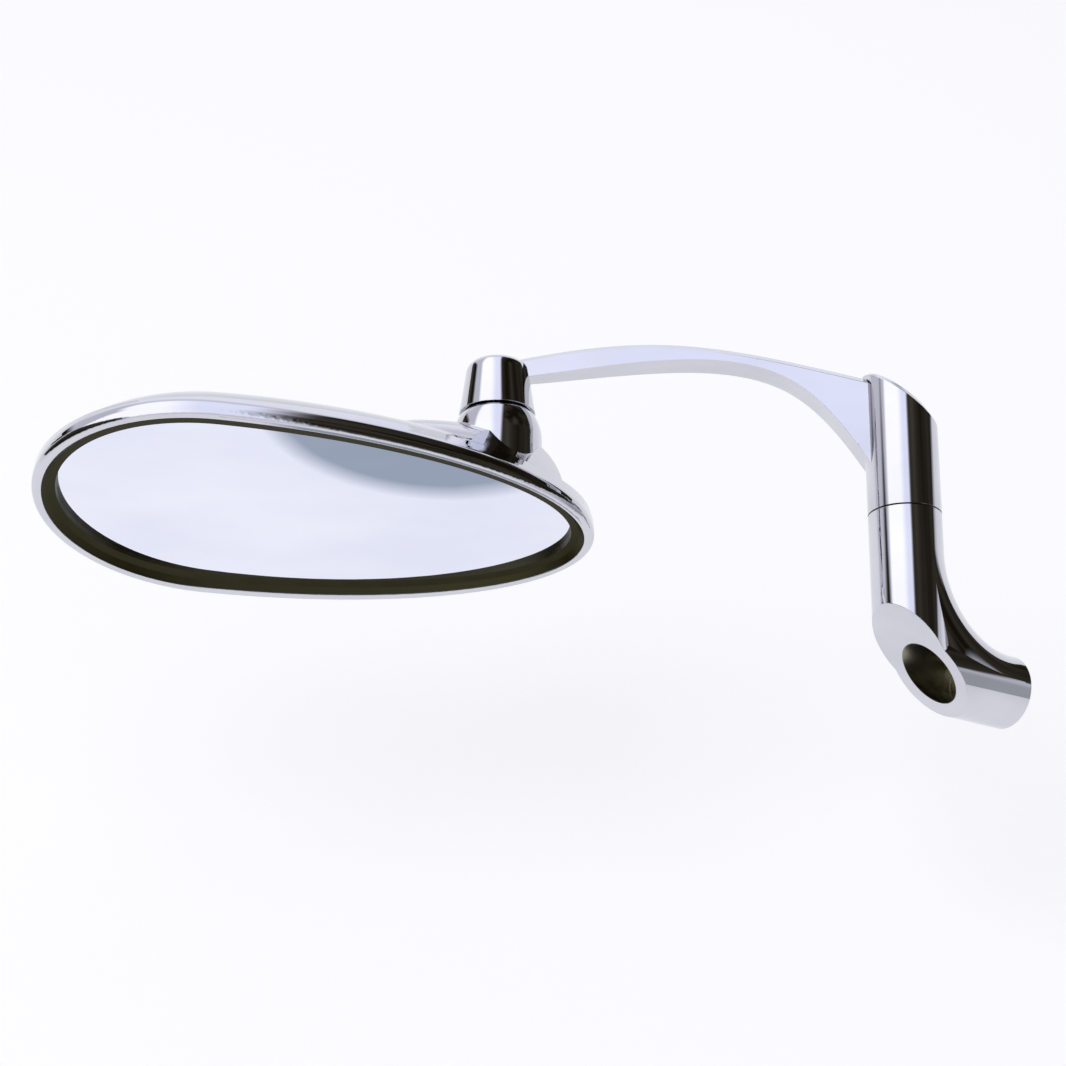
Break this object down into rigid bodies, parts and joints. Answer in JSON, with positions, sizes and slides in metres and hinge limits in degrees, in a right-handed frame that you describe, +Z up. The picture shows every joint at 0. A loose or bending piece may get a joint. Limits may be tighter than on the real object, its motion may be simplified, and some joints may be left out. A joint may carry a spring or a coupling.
{
  "type": "motorcycle mirror",
  "caption": "Chrome handlebar mirror for a motorcycle: egg-shaped convex glass head on a ball joint, a curved arm and a swivelling elbow with a bolt hole.",
  "frame": {"origin": "middle of the elbow's flat mounting face, on the axis of its bolt hole", "axes": "+X along the arm from the head towards the mount, +Y forward, +Z up with the glass upright and facing -Y"},
  "size_m": [0.2941, 0.0986, 0.0954],
  "materials": {
    "chrome_head": "polished chrome plate on a cast shell",
    "chrome_stem": "polished chrome plate on cast stem pieces",
    "gasket_rubber": "semi-gloss black rubber",
    "silvered_glass": "silvered convex glass",
    "foam": "closed-cell foam",
    "steel": "plain turned steel",
    "nylon": "natural nylon",
    "screw_steel": "zinc-plated steel"
  },
  "bodies": {
    "mount": {"elbow": "chrome_stem", "clamp_screw": "screw_steel", "lock_washer": "screw_steel"},
    "stem": {"arm": "chrome_stem", "flat_washer": "screw_steel", "ball_stud": "steel"},
    "upper_seat": {"upper_liner": "nylon"},
    "lower_seat": {"lower_liner": "nylon"},
    "head": {"head_shell": "chrome_head", "gasket": "gasket_rubber", "mirror_glass": "silvered_glass", "backing_pad": "foam", "pressure_cup": "steel", "disc_springs": "steel", "retaining_plug": "steel"}
  },
  "joints": [
    {"name": "post_swivel", "type": "hinge", "parent": "mount", "child": "stem", "pos_m": [-0.03074, 0.03218, 0.04147], "axis": [0, 0.891, 0.454], "continuous": true},
    {"name": "head_tilt", "type": "hinge", "parent": "stem", "child": "upper_seat", "pos_m": [-0.15174, 0.05401, 0.05259], "axis": [1, 0, 0], "range_deg": [-12, 12]},
    {"name": "head_swing", "type": "hinge", "parent": "upper_seat", "child": "lower_seat", "pos_m": [-0.15174, 0.05401, 0.05259], "axis": [0, 0.454, -0.891], "range_deg": [-12, 12]},
    {"name": "head_turn", "type": "hinge", "parent": "lower_seat", "child": "head", "pos_m": [-0.15174, 0.05401, 0.05259], "axis": [0, 0.891, 0.454], "range_deg": [-90, 90]}
  ]
}
